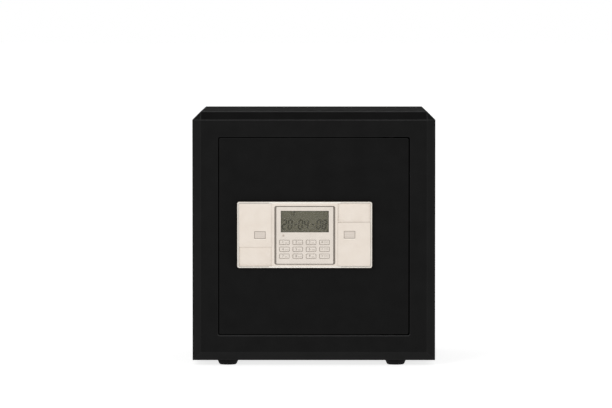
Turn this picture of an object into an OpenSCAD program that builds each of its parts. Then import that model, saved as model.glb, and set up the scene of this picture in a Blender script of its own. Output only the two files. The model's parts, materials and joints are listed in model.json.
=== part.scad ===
// In-room safe: steel cabinet, hinged door with motor bolts, keypad panel with sliding covers.
// Millimetres, +Z up, front faces -Y, origin at the bottom centre of the bounding box.

/* [Cabinet] */
// Width of the cabinet
body_w = 383; // [360:1:420]
// Depth of the cabinet without the control panel
body_d = 350; // [330:1:400]
// Height of the cabinet without its feet
body_h = 393; // [380:1:420]
// Height of the rubber feet
foot_h = 8; // [6:0.5:14]
// Thickness of the cabinet sheet
sheet_t = 2; // [1.5:0.5:3]
// Depth of the 45 degree chamfer round the front and along the top
chamfer = 13.3; // [8:0.1:16]
// Width of the front frame beside the door
frame_w = 40.5; // [34:0.5:42]
// Height of the front frame above and below the door
frame_h = 40; // [34:0.5:42]
// Thickness of the front frame
frame_t = 3; // [2:0.5:4]

/* [Door] */
// Gap between the door and its opening
door_gap = 2; // [1:0.1:3]
// Thickness of the door plate
door_t = 5; // [4:0.5:6]
// Distance of the hinge axis from the door's right edge
hinge_in = 28; // [26:0.5:30]
// Distance of the hinge axis behind the door's front face
hinge_back = 9.5; // [9:0.1:10]
// Radius of the hinge pins
pin_r = 3; // [2.5:0.1:3.5]

/* [Locking] */
// Radius of the locking bolts
bolt_r = 9; // [7:0.5:10]
// Height between locking bolts
bolt_pitch = 90; // [80:1:95]
// Pitch radius of the motor pinion
pinion_r = 11.2; // [11:0.1:12]
// Number of teeth on the motor pinion
pinion_teeth = 16; // [14:1:18]

/* [Control panel] */
// Width of the panel
panel_w = 212; // [208:0.5:220]
// Height of the panel
panel_h = 104; // [102:0.5:110]
// How far the key caps stand in front of the door
panel_proud = 10; // [10:0.5:12]
// Width of the keypad module
module_w = 95.6; // [94:0.1:98]
// Height of the keypad module
module_h = 92.4; // [90:0.1:93]
// Width of a key cap
key_w = 14.8; // [13:0.1:16]
// Height of a key cap
key_h = 6.6; // [6:0.1:8]
// Travel of a key cap
key_travel = 1; // [0.5:0.1:1]

/* [Mounts] */
// Radius of the anchor holes
anchor_r = 6; // [5:0.5:7]
// Distance between the floor anchor holes, left to right
floor_anchor_x = 200; // [160:5:210]
// Distance between the floor anchor holes, front to back
floor_anchor_y = 140; // [120:5:150]
// Distance between the wall anchor holes
wall_anchor_x = 200; // [160:5:240]

/* [Hidden] */
$fn = 64;
eps = 0.01;
run_fit = 0.05;
slide_gap = 0.3;

front_y = -(body_d + panel_proud) / 2 + panel_proud;
back_y = front_y + body_d;
floor_z = foot_h;
top_z = foot_h + body_h;
half_w = body_w / 2;
mid_z = floor_z + body_h / 2;

open_w = body_w - 2 * frame_w;
open_h = body_h - 2 * frame_h;
open_r = 3;
jamb_t = 3;
jamb_back_y = front_y + 25;
stop_w = 6;
stop_t = 3;

door_w = open_w - 2 * door_gap;
door_h = open_h - 2 * door_gap;
door_back_y = front_y + door_t;
hinge_x = door_w / 2 - hinge_in;
hinge_y = front_y + hinge_back;
hinge_block_h = 24;

box_left = -138;
box_right = 100;
box_low = mid_z - open_h / 2 + 12;
box_high = mid_z + open_h / 2 - 12;
box_t = 1.5;
cover_y = door_back_y + 43.5;

throw = 2 * pinion_r;
bolt_y = front_y + 35;
bolt_tip_x = box_left - 1;
bar_x = -80;
bar_w = 12;
rack_z = 168;
rack_y = front_y + 30;
rack_d = 10;
pinion_x = -30;
tooth_module = 2 * pinion_r / pinion_teeth;
rack_pitch = PI * tooth_module;

panel_x = -14.4;
panel_z = 207.2;
module_x = -14.2;
module_z = 206.5;
rim_w = 2.5;
module_wall = 4;
wing_top = panel_z + panel_h / 2 - rim_w;
wing_low = panel_z - panel_h / 2 + rim_w;
left_wing = [panel_x - panel_w / 2 + rim_w, module_x - module_w / 2 - module_wall];
right_wing = [module_x + module_w / 2 + module_wall, panel_x + panel_w / 2 - rim_w];
cover_travel = 29;
fixed_h = cover_travel + 1;
cover_t = 1.5;
cover_proud = 7.2;
grip_w = 18;
grip_h = 12;
grip_in = 7.2;
grip_from_end = 18.9;
lock_x = (left_wing[0] + left_wing[1]) / 2;
lock_z = wing_top - fixed_h / 2 + 0.5;
plug_r = 6;
lock_r = 9;
power_x = (right_wing[0] + right_wing[1]) / 2;
power_z = wing_low + fixed_h / 2 - 0.5;

lcd_w = 75.6;
lcd_h = 33.9;
lcd_z = 228.2;
key_pitch_x = 21;
key_pitch_z = 10.9;
key_x0 = -46.2;
key_z0 = 195.6;
KEY_COLUMNS = 4;
KEY_ROWS = 3;
led_x = -47.8;
led_z = 206.1;

foot_xs = [-136, 129.4];
foot_in = 35;
foot_recess_h = 4;
foot_ys = [front_y + foot_in, back_y - foot_in];
mat_t = 3;
shelf_z = 205;
shelf_t = 2;
shelf_front_y = -92;

battery_z = 268;
battery_x = 20;
lid_w = 76;
lid_h = 66;
lid_t = 1.6;

anchor_y = 15;
wall_anchor_z = 290;
foot_screw_r = 2;
panel_screw_r = 1.5;
wire_hole_r = 6;
wire_hole_x = 10;
wire_hole_z = 206;
cover_screw_r = 1.6;
reset_x = 70;
reset_z = 150;
battery_open_w = 62;
battery_open_h = 54;
lid_y = cover_y + box_t + 0.2;
shaft_r = 3;
gearbox_y = rack_y - 3;
pinion_z = rack_z + pinion_r;
lock_front_y = front_y - 6.4;
lock_back_y = front_y + 18;
lock_nut_r = 12.5;
cell_r = 7.25;
cell_l = 50;
cell_pitch = 15;
cell_y = cover_y - 9.5;
wire_r = 1.6;
base_back_y = front_y - 1;
base_floor_y = front_y - 3;
base_front_y = front_y - 8.8;
module_floor_y = front_y - 3;
track_y = front_y - 8;
trim_w = 3;
trim_h = 1.3;
face_w = module_w - 2 * trim_w - 0.2;
face_h = module_h - 2 * trim_h - 0.2;
face_front_y = front_y - 9.5;
face_back_y = front_y - 7.6;
board_front_y = front_y - 4.4;
mat_front_y = front_y - 4.9;
board_t = 1.2;
power_stud_r = 2.5;
power_pitch = 12.7;
cover_color = "#ded4c8";
neck_r = 5;
PANEL_SCREW_XZ = [for (sx = [-1, 1]) for (sz = [-1, 1])
    [panel_x + sx * (panel_w / 2 - 12), panel_z + sz * (panel_h / 2 - 7)]];
BOLT_ZS = [for (i = [-1 : 1]) mid_z + i * bolt_pitch];
COVER_SCREW_XZ = [for (x = [box_left + 7, box_right - 7]) for (z = [box_low + 7, box_high - 7]) [x, z]];
key_flange_y = front_y - 6.2;
board_x = 12;
board_z = 82;
board_w = 74;
board_h = 76;
board_top = board_z + board_h + 0.2;

KEYS = [for (row = [0 : KEY_ROWS - 1]) for (column = [0 : KEY_COLUMNS - 1])
    str("key_row", row + 1, "_column", column + 1)];

// ---------- shared shapes ----------

// A box given by its low and high corners
module span(low, high) {
    translate(low)
        cube(high - low);
}

// A rounded rectangle in the X-Z plane, centred on x and z, extruded from y0 to y1
module plate_xz(w, h, r, y0, y1, x = 0, z = 0) {
    translate([x, y1, z])
        rotate([90, 0, 0])
            linear_extrude(y1 - y0)
                rounded_square(w, h, r);
}

// The outline of a rectangle with round corners
module rounded_square(w, h, r) {
    square([w - 2 * r, h], center = true);
    square([w, h - 2 * r], center = true);
    for (sx = [-1, 1])
        for (sz = [-1, 1])
            translate([sx * (w / 2 - r), sz * (h / 2 - r)])
                circle(r);
}

// A cylinder along +Y from y0 to y1
module rod_y(r, y0, y1, x, z) {
    translate([x, y0, z])
        rotate([-90, 0, 0])
            cylinder(r = r, h = y1 - y0);
}

// A cylinder along +X from x0 to x1
module rod_x(r, x0, x1, y, z) {
    translate([x0, y, z])
        rotate([0, 90, 0])
            cylinder(r = r, h = x1 - x0);
}

// A cylinder along +Z from z0 to z1
module rod_z(r, z0, z1, x, y) {
    translate([x, y, z0])
        cylinder(r = r, h = z1 - z0);
}

// The cabinet's outline from the front, with its top corners cut, drawn smaller by inset
module cabinet_outline(inset = 0) {
    cut = chamfer + inset * (sqrt(2) - 2);
    w = half_w - inset;
    low = floor_z + inset;
    high = top_z - inset;
    polygon([[-w, low], [w, low], [w, high - cut], [w - cut, high], [-w + cut, high], [-w, high - cut]]);
}

// The cabinet outline extruded from y0 to y1
module cabinet_prism(inset, y0, y1) {
    translate([0, y1, 0])
        rotate([90, 0, 0])
            linear_extrude(y1 - y0)
                cabinet_outline(inset);
}

// ---------- cabinet ----------

module anchor_holes(z0, z1, r) {
    for (sx = [-1, 1])
        for (sy = [-1, 1])
            rod_z(r, z0, z1, sx * floor_anchor_x / 2, anchor_y + sy * floor_anchor_y / 2);
}

module cabinet_shell() {
    color("#1c1c1e")
        difference() {
            cabinet_prism(0, front_y + chamfer, back_y);
            cabinet_prism(sheet_t, front_y + chamfer - 1, back_y + 1);
            anchor_holes(floor_z - 1, floor_z + sheet_t + 1, anchor_r);
            foot_holes(foot_screw_r);
        }
}

module back_plate() {
    color("#1c1c1e")
        difference() {
            cabinet_prism(sheet_t, back_y - sheet_t, back_y);
            for (sx = [-1, 1])
                rod_y(anchor_r, back_y - sheet_t - 1, back_y + 1, sx * wall_anchor_x / 2, wall_anchor_z);
        }
}

// The pressed front: a flat face inset by the chamfer, spreading back to the full outline
module front_form(inset, front_gap) {
    hull() {
        span([-half_w + chamfer + front_gap, front_y + inset, floor_z + chamfer + front_gap],
            [half_w - chamfer - front_gap, front_y + inset + eps, top_z - chamfer - front_gap]);
        cabinet_prism(inset * sqrt(2), front_y + chamfer - eps, front_y + chamfer);
    }
}

module front_frame() {
    color("#1c1c1e")
        difference() {
            front_form(0, 0);
            front_form(frame_t, frame_t * (sqrt(2) - 1));
            translate([0, 1, 0])
                front_form(frame_t, frame_t * (sqrt(2) - 1));
            plate_xz(open_w, open_h, open_r, front_y - 1, front_y + chamfer, 0, mid_z);
        }
}

module door_jamb() {
    color("#161618")
        difference() {
            plate_xz(open_w + 2 * jamb_t, open_h + 2 * jamb_t, open_r + jamb_t,
                front_y + frame_t, jamb_back_y, 0, mid_z);
            plate_xz(open_w, open_h, open_r, front_y, jamb_back_y + 1, 0, mid_z);
            rod_z(pin_r, floor_z, top_z, hinge_x, hinge_y);
        }
}

module door_stop() {
    y0 = door_back_y + slide_gap;
    reach = hinge_x - 15;
    color("#161618")
        difference() {
            plate_xz(open_w, open_h, open_r, y0, y0 + stop_t, 0, mid_z);
            plate_xz(open_w - 2 * stop_w, open_h - 2 * stop_w, 1, y0 - 1, y0 + stop_t + 1, 0, mid_z);
            span([reach, y0 - 1, 0], [half_w, y0 + stop_t + 1, top_z]);
        }
}

module hinge_pins() {
    color("#8f9194")
        for (side = [-1, 1])
            translate([0, 0, mid_z])
                mirror([0, 0, side < 0 ? 1 : 0])
                    union() {
                        rod_z(pin_r, open_h / 2 - 20, open_h / 2 + jamb_t, hinge_x, hinge_y);
                        rod_z(pin_r + 2, open_h / 2 + jamb_t, open_h / 2 + jamb_t + 2, hinge_x, hinge_y);
                    }
}

module hinge_washers() {
    color("#b5a36a")
        for (side = [-1, 1])
            translate([0, 0, mid_z])
                mirror([0, 0, side < 0 ? 1 : 0])
                    difference() {
                        rod_z(7, open_h / 2 - door_gap + slide_gap, open_h / 2, hinge_x, hinge_y);
                        rod_z(pin_r + run_fit, 0, open_h, hinge_x, hinge_y);
                    }
}

module floor_mat() {
    color("#4a4c50")
        difference() {
            span([-half_w + sheet_t + 2, jamb_back_y + 4, floor_z + sheet_t],
                [half_w - sheet_t - 2, back_y - sheet_t - 2, floor_z + sheet_t + mat_t]);
            anchor_holes(floor_z, floor_z + 10, anchor_r + 4);
        }
}

module shelf() {
    lip = 12;
    x1 = half_w - sheet_t - 4;
    y1 = back_y - sheet_t - 4;
    color("#232427") {
        union() {
            span([-x1, shelf_front_y, shelf_z], [x1, y1, shelf_z + shelf_t]);
            span([-x1, shelf_front_y, shelf_z - lip], [x1, shelf_front_y + shelf_t, shelf_z]);
        }
    }
}

module shelf_brackets() {
    flange = 18;
    x1 = half_w - sheet_t;
    color("#232427")
        for (side = [0, 1])
            mirror([side, 0, 0])
                union() {
                    span([x1 - 2, shelf_front_y + 10, shelf_z - flange], [x1, back_y - 20, shelf_z]);
                    span([x1 - flange, shelf_front_y + 10, shelf_z - 2], [x1 - 2, back_y - 20, shelf_z]);
                }
}

module foot_holes(r) {
    for (x = foot_xs)
        for (y = foot_ys)
            rod_z(r, 1, floor_z + sheet_t + 1, x, y);
}

module feet() {
    top_r = 16;
    low_r = 14;
    edge = 1.5;
    recess_r = 5;
    color("#141414")
        for (x = foot_xs)
            for (y = foot_ys)
                translate([x, y, 0])
                    rotate_extrude()
                        polygon([[recess_r, 0], [low_r - edge, 0], [low_r, edge], [top_r, foot_h - 2],
                            [top_r, foot_h], [foot_screw_r, foot_h], [foot_screw_r, foot_recess_h],
                            [recess_r, foot_recess_h]]);
}

module foot_screws() {
    head_r = 4.2;
    head_h = 2.4;
    color("#8f9194")
        for (x = foot_xs)
            for (y = foot_ys)
                difference() {
                    union() {
                        rod_z(head_r, foot_recess_h - head_h, foot_recess_h, x, y);
                        rod_z(foot_screw_r, foot_recess_h - eps, floor_z + sheet_t, x, y);
                    }
                    span([x - 3, y - 0.5, 1], [x + 3, y + 0.5, foot_recess_h - 1.4]);
                    span([x - 0.5, y - 3, 1], [x + 0.5, y + 3, foot_recess_h - 1.4]);
                }
}

// ---------- door ----------

module door_plate() {
    color("#19191b")
        difference() {
            plate_xz(door_w, door_h, 2.5, front_y, door_back_y, 0, mid_z);
            rod_y(lock_r, front_y - 1, door_back_y + 1, lock_x, lock_z);
            rod_y(wire_hole_r, front_y - 1, door_back_y + 1, wire_hole_x, wire_hole_z);
            for (p = PANEL_SCREW_XZ)
                rod_y(panel_screw_r + 0.25, front_y - 1, door_back_y + 1, p[0], p[1]);
        }
}

module door_box() {
    tab = 12;
    color("#1f2022")
        difference() {
            span([box_left, door_back_y, box_low], [box_right, cover_y, box_high]);
            difference() {
                span([box_left + box_t, door_back_y - 1, box_low + box_t],
                    [box_right - box_t, cover_y + 1, box_high - box_t]);
                for (p = COVER_SCREW_XZ)
                    span([p[0] - tab / 2, cover_y - 2, p[1] - tab / 2],
                        [p[0] + tab / 2, cover_y, p[1] + tab / 2]);
            }
            for (p = COVER_SCREW_XZ)
                rod_y(cover_screw_r, cover_y - 10, cover_y + 1, p[0], p[1]);
            for (z = BOLT_ZS)
                rod_x(bolt_r + 0.5, box_left - 1, box_left + box_t + 1, bolt_y, z);
        }
}

module door_back_cover() {
    rail_d = 3.4;
    x0 = battery_x - lid_w / 2 - slide_gap;
    x1 = battery_x + lid_w / 2 + slide_gap;
    y0 = cover_y + box_t;
    rail_low = battery_z - lid_h / 2 - 66;
    rail_high = battery_z + lid_h / 2 + slide_gap;
    color("#2a2b2e")
        difference() {
            union() {
                span([box_left, cover_y, box_low], [box_right, y0, box_high]);
                for (side = [0, 1])
                    translate([side == 0 ? x0 : x1, 0, 0])
                        mirror([side, 0, 0])
                            union() {
                                span([-2, y0, rail_low], [0, y0 + rail_d, rail_high + 2]);
                                span([-2, y0 + rail_d - 1.2, rail_low], [2.2, y0 + rail_d, rail_high + 2]);
                            }
                span([x0, y0, rail_high], [x1, y0 + rail_d, rail_high + 2]);
            }
            span([battery_x - battery_open_w / 2, cover_y - 1, battery_z - battery_open_h / 2],
                [battery_x + battery_open_w / 2, y0 + 1, battery_z + battery_open_h / 2]);
            rod_y(4, cover_y - 1, y0 + 1, reset_x, reset_z);
            for (p = COVER_SCREW_XZ)
                rod_y(cover_screw_r, cover_y - 1, y0 + 1, p[0], p[1]);
        }
}

module back_cover_screws() {
    y0 = cover_y + box_t;
    color("#b9bbbe")
        for (p = COVER_SCREW_XZ)
            difference() {
                union() {
                    rod_y(3.2, y0, y0 + 1.8, p[0], p[1]);
                    rod_y(cover_screw_r, cover_y - 6, y0 + eps, p[0], p[1]);
                }
                span([p[0] - 2.2, y0 + 0.8, p[1] - 0.4], [p[0] + 2.2, y0 + 3, p[1] + 0.4]);
                span([p[0] - 0.4, y0 + 0.8, p[1] - 2.2], [p[0] + 0.4, y0 + 3, p[1] + 2.2]);
            }
}

module hinge_blocks() {
    half = 7;
    color("#2a2a2c")
        for (side = [-1, 1])
            translate([0, 0, mid_z])
                mirror([0, 0, side < 0 ? 1 : 0])
                    difference() {
                        span([hinge_x - half, door_back_y, open_h / 2 - door_gap - hinge_block_h],
                            [hinge_x + half, hinge_y + half, open_h / 2 - door_gap]);
                        rod_z(pin_r + run_fit, 0, open_h, hinge_x, hinge_y);
                    }
}

module bolt_guide() {
    x0 = -121;
    t = 8;
    color("#6d7075")
        difference() {
            union() {
                span([x0, door_back_y, mid_z - bolt_pitch - 22],
                    [x0 + t, bolt_y + bolt_r + 4, mid_z + bolt_pitch + 22]);
                span([x0 - 10, door_back_y, mid_z - bolt_pitch - 22],
                    [x0, door_back_y + 2, mid_z + bolt_pitch + 22]);
            }
            for (z = BOLT_ZS)
                rod_x(bolt_r + run_fit, x0 - 1, x0 + t + 1, bolt_y, z);
        }
}

module gearmotor() {
    color("#54575c")
        difference() {
            span([pinion_x - 20, door_back_y, pinion_z - 13], [pinion_x + 20, gearbox_y, pinion_z + 22]);
            rod_y(shaft_r + run_fit, door_back_y + 4, gearbox_y + 1, pinion_x, pinion_z);
        }
}

module motor_can() {
    can_r = 10;
    y = door_back_y + can_r + 0.5;
    color("#a9acb0")
        union() {
            rod_z(can_r, pinion_z + 22, pinion_z + 54, pinion_x, y);
            rod_z(can_r - 5, pinion_z + 54, pinion_z + 57, pinion_x, y);
        }
}

module lock_cylinder() {
    color("#c2c4c7")
        difference() {
            union() {
                rod_y(lock_r, lock_front_y + 1.4, lock_back_y, lock_x, lock_z);
                rod_y(lock_r + 1.8, lock_front_y, lock_front_y + 1.4, lock_x, lock_z);
            }
            rod_y(plug_r + run_fit, lock_front_y - 1, lock_back_y + 1, lock_x, lock_z);
        }
}

module lock_nut() {
    color("#c2c4c7")
        difference() {
            translate([lock_x, door_back_y, lock_z])
                rotate([-90, 0, 0])
                    cylinder(r = lock_nut_r, h = 5, $fn = 6);
            rod_y(lock_r, door_back_y - 1, door_back_y + 6, lock_x, lock_z);
        }
}

module control_board() {
    x0 = board_x;
    z0 = board_z;
    w = board_w;
    h = board_h;
    y0 = door_back_y + 8;
    color("#1d5c3a")
        union() {
            span([x0, y0, z0], [x0 + w, y0 + 1.6, z0 + h]);
            span([x0 + 28, y0 + 1.6, z0 + 30], [x0 + 42, y0 + 3.6, z0 + 44]);
            span([x0 + 6, y0 + 1.6, z0 + 8], [x0 + 24, y0 + 12, z0 + 24]);
            for (i = [0 : 2])
                rod_y(4, y0 + 1.6, y0 + 13, x0 + 56, z0 + 14 + i * 12);
            for (sx = [5, w - 5])
                for (sz = [5, h - 5])
                    rod_y(3, door_back_y, y0, x0 + sx, z0 + sz);
        }
}

module battery_holder() {
    wall = 1.5;
    w = 4 * cell_pitch - 2;
    color("#222222")
        difference() {
            span([battery_x - w / 2 - wall, cell_y - cell_r - 2, battery_z - cell_l / 2 - 1.5],
                [battery_x + w / 2 + wall, cover_y - 0.4, battery_z + cell_l / 2 + 1.5]);
            span([battery_x - w / 2 - 0.5, cell_y - cell_r - 0.3, battery_z - cell_l / 2],
                [battery_x + w / 2 + 0.5, cover_y + 1, battery_z + cell_l / 2]);
        }
}

module batteries() {
    color("#b0893a")
        for (i = [-1.5 : 1 : 1.5])
            translate([battery_x + i * (cell_pitch - 0.2), cell_y, battery_z])
                mirror([0, 0, (i + 1.5) % 2])
                    union() {
                        rod_z(cell_r - 0.1, -cell_l / 2, cell_l / 2 - 1.2, 0, 0);
                        rod_z(2.6, cell_l / 2 - 1.2, cell_l / 2, 0, 0);
                    }
}

// A round wire through a list of points, with a ball at each bend
module wire(points, r) {
    for (i = [0 : len(points) - 2]) {
        run = points[i + 1] - points[i];
        translate(points[i])
            rotate([0, acos(run[2] / norm(run)), atan2(run[1], run[0])])
                cylinder(r = r, h = norm(run), $fn = 10);
    }
    for (i = [1 : len(points) - 2])
        translate(points[i])
            sphere(r, $fn = 10);
}

module wiring_harness() {
    y = door_back_y + 6;
    color("#b3281e") {
        wire([[wire_hole_x, board_front_y + board_t, wire_hole_z], [wire_hole_x, y, wire_hole_z],
            [wire_hole_x + 8, y, wire_hole_z - 20], [30, y + 3, 170], [30, y + 3, board_top]], wire_r);
        wire([[40, y + 3, board_top], [40, y + 3, 174], [34, y + 12, 205], [28, y + 22, 236],
            [28, y + 24, 241.3]], wire_r);
        wire([[20, y + 3, board_top], [20, y + 3, 172], [2, y, 214], [pinion_x + 12, y, 244],
            [pinion_x, y, 244], [pinion_x, y, pinion_z + 57]], wire_r);
    }
}

// ---------- control panel ----------

module panel_gasket() {
    color("#101010")
        difference() {
            plate_xz(panel_w - 3, panel_h - 3, 2, base_back_y, front_y, panel_x, panel_z);
            plate_xz(panel_w - 30, panel_h - 30, 2, base_back_y - 1, front_y + 1, panel_x, panel_z);
            rod_y(lock_r + 2.5, base_back_y - 1, front_y + 1, lock_x, lock_z);
            for (p = PANEL_SCREW_XZ)
                rod_y(panel_screw_r + 0.25, base_back_y - 1, front_y + 1, p[0], p[1]);
        }
}

// The space a sliding cover moves in, with a groove under the rim on both sides
module wing_space(wing, open_low, open_high) {
    groove = 1.1;
    span([wing[0], base_front_y - 1, wing_low], [wing[1], track_y + 0.7, wing_top]);
    span([wing[0] - groove, track_y, wing_low], [wing[1] + groove, track_y + 1.1, wing_top]);
    span([wing[0] + 1, track_y, open_low], [wing[1] - 1, base_floor_y, open_high]);
}

module panel_base() {
    color("#d8d0c4")
        difference() {
            union() {
                plate_xz(panel_w, panel_h, 3, base_front_y + 0.6, base_back_y, panel_x, panel_z);
                plate_xz(panel_w - 1.2, panel_h - 1.2, 2.6, base_front_y, base_front_y + 0.6 + eps,
                    panel_x, panel_z);
            }
            wing_space(left_wing, wing_low + fixed_h + 1, wing_top);
            wing_space(right_wing, wing_low, wing_top - fixed_h - 1);
            plate_xz(module_w, module_h, 3, base_front_y - 1, module_floor_y, module_x, module_z);
            rod_y(lock_r + slide_gap, front_y - 6, front_y, lock_x, lock_z);
            rod_y(wire_hole_r, base_floor_y - 1, front_y, wire_hole_x, wire_hole_z);
            for (s = [-1, 1])
                rod_y(power_stud_r, base_floor_y - 1, front_y, power_x + s * power_pitch / 2, power_z);
            for (p = PANEL_SCREW_XZ)
                rod_y(panel_screw_r, base_floor_y + 0.3, front_y, p[0], p[1]);
        }
}

module panel_screws() {
    color("#b9bbbe")
        for (p = PANEL_SCREW_XZ)
            union() {
                rod_y(panel_screw_r, base_floor_y + 0.3, door_back_y + eps, p[0], p[1]);
                rod_y(3, door_back_y, door_back_y + 2, p[0], p[1]);
            }
}

module module_trim() {
    color("#70685f")
        difference() {
            plate_xz(module_w - 0.2, module_h - 0.2, 2.9, front_y - 9.1, base_front_y + 2.8,
                module_x, module_z);
            plate_xz(module_w - 2 * trim_w, module_h - 2 * trim_h, 1.5, front_y - 10, front_y,
                module_x, module_z);
        }
}

function key_at(row, column) = [key_x0 + column * key_pitch_x, key_z0 - row * key_pitch_z];

module module_face() {
    gap = 0.3;
    color("#e6e2da")
        difference() {
            plate_xz(face_w, face_h, 1.4, face_front_y, face_back_y, module_x, module_z);
            plate_xz(lcd_w, lcd_h, 0.6, face_front_y - 1, face_back_y + 1, module_x, lcd_z);
            rod_y(1.5 + run_fit, face_front_y - 1, face_back_y + 1, led_x, led_z);
            for (row = [0 : KEY_ROWS - 1])
                for (column = [0 : KEY_COLUMNS - 1]) {
                    p = key_at(row, column);
                    plate_xz(key_w + 2 * gap, key_h + 2 * gap, 1.3, face_front_y - 1, face_back_y + 1,
                        p[0], p[1]);
                }
        }
}

module lcd_lens() {
    color([0.6, 0.62, 0.55, 0.4])
        union() {
            plate_xz(lcd_w - 0.2, lcd_h - 0.2, 0.5, face_front_y + 1, face_back_y + eps, module_x, lcd_z);
            plate_xz(lcd_w + 3, lcd_h + 3, 1, face_back_y, face_back_y + 0.7, module_x, lcd_z);
        }
}

module lcd_glass() {
    color("#64624f")
        plate_xz(lcd_w + 3, lcd_h + 3, 1, face_back_y + 0.8, face_back_y + 2.8, module_x, lcd_z);
}

module keypad_board() {
    color("#1d5c3a")
        plate_xz(face_w - 4, face_h - 4, 1, board_front_y, board_front_y + board_t, module_x, module_z);
}

module keypad_mat() {
    color("#c9c6bd")
        union() {
            plate_xz(84, 33, 1, mat_front_y, board_front_y, module_x, key_z0 - key_pitch_z);
            for (row = [0 : KEY_ROWS - 1])
                for (column = [0 : KEY_COLUMNS - 1]) {
                    p = key_at(row, column);
                    rod_y(2.5, key_flange_y + key_travel + 0.1, mat_front_y + eps, p[0], p[1]);
                }
        }
}

module status_led() {
    color("#a33328")
        union() {
            rod_y(1.5, face_front_y, board_front_y, led_x, led_z);
            rod_y(2, face_back_y + 0.4, board_front_y, led_x, led_z);
        }
}

module power_contacts() {
    color("#c9a04a")
        for (s = [-1, 1])
            union() {
                rod_y(power_stud_r, base_floor_y - 2, front_y - 1, power_x + s * power_pitch / 2, power_z);
                rod_y(power_stud_r + 1.2, base_floor_y - 0.8, base_floor_y,
                    power_x + s * power_pitch / 2, power_z);
            }
}

module key_cap(row, column) {
    p = key_at(row, column);
    tip = front_y - panel_proud;
    color("#e9e5dd")
        union() {
            plate_xz(key_w - 0.8, key_h - 0.8, 0.8, tip, tip + 0.4 + eps, p[0], p[1]);
            plate_xz(key_w, key_h, 1, tip + 0.4, key_flange_y - 1 + eps, p[0], p[1]);
            plate_xz(key_w + 2, key_h + 2, 1, key_flange_y - 1, key_flange_y, p[0], p[1]);
        }
}

// A sliding cover: an upright plate with side tongues and a thumb recess
module wing_cover(wing, low, high, recess_x, recess_z) {
    gap = slide_gap;
    mid = (wing[0] + wing[1]) / 2;
    width = wing[1] - wing[0] - 2 * gap;
    y0 = front_y - cover_proud - cover_t;
    difference() {
        union() {
            plate_xz(width, high - low, 0.4, y0, track_y + 0.5, mid, (low + high) / 2);
            span([wing[0] - 0.7, track_y + 0.1, low + 1], [wing[1] + 0.7, track_y + 0.5, high - 1]);
        }
        plate_xz(grip_w, grip_h, 0.8, y0 - 1, y0 + 0.8, recess_x, recess_z);
        for (i = [-1 : 1])
            span([recess_x - grip_w / 3, y0 + 0.8 - eps, recess_z + i * grip_h / 4 - 0.4],
                [recess_x + grip_w / 3, y0 + 1, recess_z + i * grip_h / 4 + 0.4]);
    }
}

module left_cover() {
    low = wing_low + fixed_h + slide_gap;
    color(cover_color)
        wing_cover(left_wing, low, wing_top - slide_gap, lock_x + grip_in, low + grip_from_end);
}

module right_cover() {
    high = wing_top - fixed_h - slide_gap;
    color(cover_color)
        wing_cover(right_wing, wing_low + slide_gap, high, power_x - grip_in, high - grip_from_end);
}

// ---------- moving parts of the lock ----------

module bolt_carriage() {
    z_low = mid_z - bolt_pitch - 14;
    z_high = mid_z + bolt_pitch + 14;
    color("#7a7d82")
        difference() {
            union() {
                span([bar_x, bolt_y - 10, z_low], [bar_x + bar_w, bolt_y + 10, z_high]);
                span([bar_x + bar_w - 1, rack_y, rack_z - 9], [2, rack_y + rack_d, rack_z - tooth_module]);
                rack_teeth();
            }
            for (z = BOLT_ZS)
                rod_x(neck_r, bar_x - 1, bar_x + bar_w + 1, bolt_y, z);
        }
}

// Straight rack teeth on the pitch line, with a gap under the pinion's centre at rest
module rack_teeth() {
    add = 0.8 * tooth_module;
    root = -tooth_module;
    half = rack_pitch / 4 - 0.15;
    slope = tan(20);
    translate([0, rack_y + rack_d, rack_z])
        rotate([90, 0, 0])
            linear_extrude(rack_d)
                for (i = [-2 : ceil(throw / rack_pitch)])
                    translate([pinion_x + (i + 0.5) * rack_pitch, 0])
                        polygon([[-half + root * slope, root], [half - root * slope, root],
                            [half - add * slope, add], [-half + add * slope, add]]);
}

module locking_bolts() {
    tip = 1.5;
    color("#c9ccd0")
        for (z = BOLT_ZS)
            translate([bolt_tip_x, bolt_y, z])
                rotate([0, 90, 0])
                    union() {
                        cylinder(r1 = bolt_r - tip, r2 = bolt_r, h = tip);
                        translate([0, 0, tip - eps])
                            cylinder(r = bolt_r, h = bar_x - bolt_tip_x - tip + eps);
                        translate([0, 0, bar_x - bolt_tip_x - eps])
                            cylinder(r = neck_r, h = bar_w + eps);
                    }
}

// Involute flank point at a roll angle in degrees
function involute(base_r, roll) = base_r * [cos(roll) + roll * PI / 180 * sin(roll),
    sin(roll) - roll * PI / 180 * cos(roll)];
function turned(p, a) = [p[0] * cos(a) - p[1] * sin(a), p[0] * sin(a) + p[1] * cos(a)];

// One pinion tooth centred on the angle zero
module pinion_tooth() {
    base_r = pinion_r * cos(20);
    tip_r = pinion_r + 0.8 * tooth_module;
    tip_roll = sqrt(pow(tip_r / base_r, 2) - 1) * 180 / PI;
    pitch_roll = tan(20) * 180 / PI;
    pitch_turn = pitch_roll - 20;
    half_angle = 90 / pinion_teeth - 0.15 / pinion_r * 180 / PI;
    flank = [for (i = [0 : 5]) turned(involute(base_r, i / 5 * tip_roll), -half_angle - pitch_turn)];
    other = [for (i = [5 : -1 : 0]) [flank[i][0], -flank[i][1]]];
    inner = [[8, -1.2], [8, 1.2]];
    polygon(concat([inner[0]], flank, other, [inner[1]]));
}

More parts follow.
